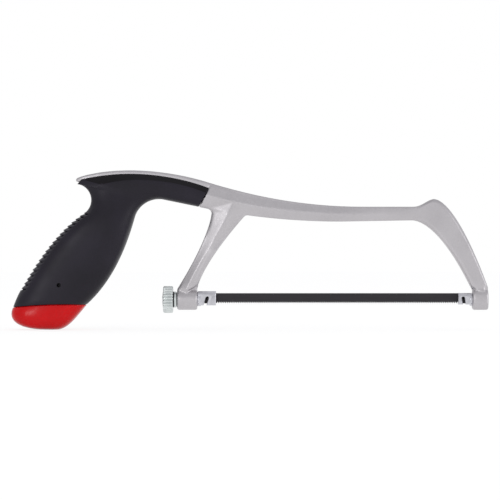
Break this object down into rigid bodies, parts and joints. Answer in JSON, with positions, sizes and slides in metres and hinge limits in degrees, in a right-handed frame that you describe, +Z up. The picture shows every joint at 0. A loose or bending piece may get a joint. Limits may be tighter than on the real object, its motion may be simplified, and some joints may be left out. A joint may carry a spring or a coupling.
{
  "type": "mini hacksaw",
  "caption": "Small hand hacksaw: cast metal frame with a raked pistol grip, a pin-ended blade under tension and a fluted knob that tightens or releases it.",
  "frame": {"origin": "middle of the saw's bounding box, at its lowest point under the end cap", "axes": "+X towards the front of the saw along the blade, +Z up from the teeth to the bar, +Y across the thickness"},
  "size_m": [0.2738, 0.026, 0.0919],
  "materials": {
    "cast_aluminium": "satin die casting",
    "black_rubber": "fine matt mould texture",
    "red_plastic": "semi-gloss moulding",
    "plated_steel": "bright plating",
    "dark_steel": "dark hardened steel",
    "black_blade": "black lacquered spring steel",
    "black_nylon": "plain moulded nylon"
  },
  "bodies": {
    "frame": {"frame": "cast_aluminium", "grip": "black_rubber", "end_cap": "red_plastic", "cap_pin": "dark_steel", "front_blade_holder": "plated_steel", "steel_washer": "plated_steel"},
    "knob": {"tension_knob": "plated_steel", "friction_washer": "black_nylon"},
    "rear_holder": {"rear_blade_holder": "plated_steel"},
    "blade": {"blade": "black_blade", "rear_blade_pin": "dark_steel", "front_blade_pin": "dark_steel"}
  },
  "joints": [
    {"name": "knob_turn", "type": "hinge", "parent": "frame", "child": "knob", "pos_m": [-0.04716, 0, 0.0173], "axis": [-1, 0, 0], "range_deg": [0, 1080]},
    {"name": "tension_slide", "type": "slide", "parent": "frame", "child": "rear_holder", "axis": [1, 0, 0], "range_m": [0, 0.0024]},
    {"name": "blade_release", "type": "slide", "parent": "frame", "child": "blade", "axis": [0.1564, 0, -0.9877], "range_m": [0, 0.00524]}
  ],
  "couplings": [
    {"joint": "tension_slide", "follows": "knob_turn", "m_per_rad": 0.00012732},
    {"joint": "blade_release", "follows": "knob_turn", "m_per_rad": 0.00027775}
  ]
}
